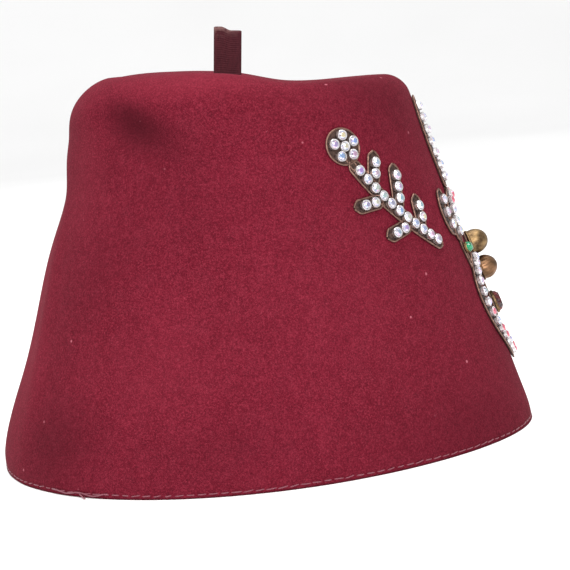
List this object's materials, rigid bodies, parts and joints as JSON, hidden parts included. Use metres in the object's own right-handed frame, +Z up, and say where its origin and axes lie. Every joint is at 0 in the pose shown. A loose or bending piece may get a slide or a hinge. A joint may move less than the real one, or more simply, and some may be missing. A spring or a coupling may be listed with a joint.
{
  "type": "fez hat",
  "caption": "Tapered crimson felt hat with a flat top, a short ribbon tab, and jewelled leaf and sprig ornaments round its front.",
  "frame": {"origin": "middle of the hat on the surface that its rim rests on", "axes": "+X to the front, +Z up, the wearer's right side at -Y"},
  "size_m": [0.2074, 0.1726, 0.1615],
  "materials": {
    "crimson_felt": "matt wool felt with a fine fuzzy nap",
    "ribbon": "dull ribbed ribbon, worn paler at the fold",
    "cup_stones": "bright cut stones in silvered cups on a brown metal tray",
    "tray_metal": "dull brown metal with worn wire edges",
    "aged_brass": "dull aged brass",
    "red_glass": "polished dark red cut glass",
    "green_glass": "polished green cut glass",
    "thread": "dusty pink sewing thread"
  },
  "bodies": {
    "root": {"felt_crown": "crimson_felt", "tassel_tab": "ribbon", "front_spray": "cup_stones", "right_spray": "cup_stones", "left_spray": "cup_stones", "upper_boss": "aged_brass", "lower_boss": "aged_brass", "red_stone": "red_glass", "green_stone_right": "green_glass", "green_stone_left": "green_glass"}
  },
  "joints": []
}
